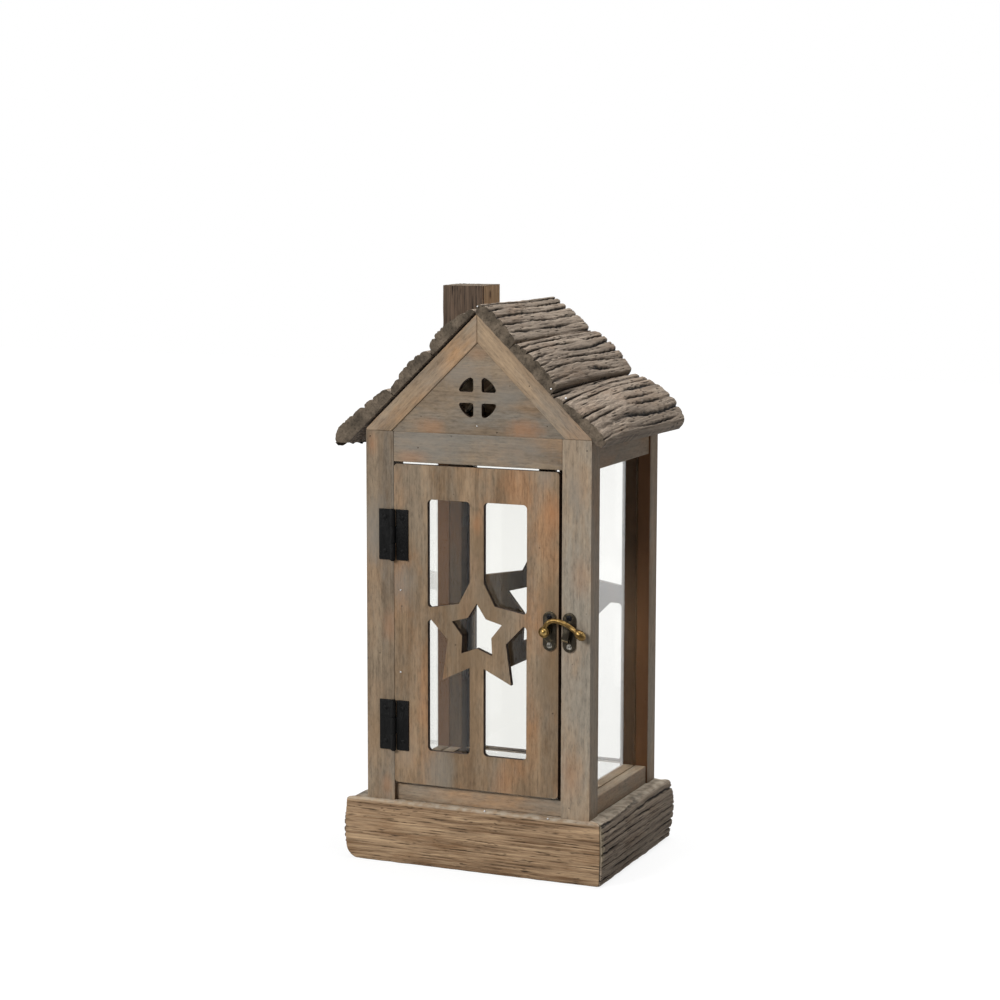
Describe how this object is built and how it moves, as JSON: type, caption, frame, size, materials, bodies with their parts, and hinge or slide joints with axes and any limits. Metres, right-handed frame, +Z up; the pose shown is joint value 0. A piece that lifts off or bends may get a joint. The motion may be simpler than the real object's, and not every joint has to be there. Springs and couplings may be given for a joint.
{
  "type": "candle lantern",
  "caption": "Rustic wooden house-shaped candle lantern with bark roof, star fretwork door on hinges, swinging latch arm, glass sides and plank foot.",
  "frame": {"origin": "on the ground under the middle of the whole outline, body centred left to right", "axes": "+Z up, +X to the right of someone facing the door, +Y from the door to the back"},
  "size_m": [0.2136, 0.1479, 0.4114],
  "materials": {
    "foot_wood": "rough sawn bark-edged boards, brown-grey wash",
    "frame_wood": "planed softwood, grey-brown wash, satin",
    "fret_board": "laser-cut thin board, warm brown wash, burnt cut edges",
    "bark": "grey-brown furrowed bark slabs",
    "chimney_wood": "rough dark block with a sawn lighter side",
    "glass": "clear float glass",
    "zinc_sheet": "bright galvanised sheet",
    "black_iron": "black enamelled steel",
    "bronze_plate": "antique bronze plating",
    "worn_brass": "antique brass, rubbed bright on top",
    "steel_screw": "zinc-plated small screws"
  },
  "bodies": {
    "house": {"back_panel": "fret_board", "base_back_board": "foot_wood", "base_front_board": "foot_wood", "base_left_board": "foot_wood", "base_right_board": "foot_wood", "chimney": "chimney_wood", "floor_board": "frame_wood", "floor_plate": "zinc_sheet", "gable_panel_back": "fret_board", "gable_panel_front": "fret_board", "glass_back": "glass", "glass_back_clips": "zinc_sheet", "glass_left": "glass", "glass_right": "glass", "hinge_lower_frame_leaf": "black_iron", "hinge_lower_pin": "black_iron", "hinge_nails_frame": "black_iron", "hinge_upper_frame_leaf": "black_iron", "hinge_upper_pin": "black_iron", "latch_catch": "bronze_plate", "latch_screws_catch": "steel_screw", "post_back_left": "frame_wood", "post_back_right": "frame_wood", "post_front_left": "frame_wood", "post_front_right": "frame_wood", "rafter_back_left": "frame_wood", "rafter_back_right": "frame_wood", "rafter_front_left": "frame_wood", "rafter_front_right": "frame_wood", "rail_back_lower": "frame_wood", "rail_back_upper": "frame_wood", "rail_front_lower": "frame_wood", "rail_front_upper": "frame_wood", "rail_left_lower": "frame_wood", "rail_left_upper": "frame_wood", "rail_right_lower": "frame_wood", "rail_right_upper": "frame_wood", "roof_plank_left_lower": "bark", "roof_plank_left_middle": "bark", "roof_plank_left_upper": "bark", "roof_plank_right_lower": "bark", "roof_plank_right_middle": "bark", "roof_plank_right_upper": "bark"},
    "door": {"door_panel": "fret_board", "door_glass": "glass", "door_glass_clips": "zinc_sheet", "hinge_lower_door_leaf": "black_iron", "hinge_upper_door_leaf": "black_iron", "hinge_nails_door": "black_iron", "latch_door_plate": "bronze_plate", "latch_rivet": "worn_brass", "latch_screws_door": "steel_screw"},
    "arm": {"latch_arm": "worn_brass"}
  },
  "joints": [
    {"name": "door_hinge", "type": "hinge", "parent": "house", "child": "door", "pos_m": [-0.0637, -0.0672, 0.15], "axis": [0, 0, -1], "range_deg": [0, 170]},
    {"name": "latch_swing", "type": "hinge", "parent": "door", "child": "arm", "pos_m": [0.05295, -0.07, 0.1766], "axis": [0, -1, 0], "range_deg": [0, 110]}
  ]
}
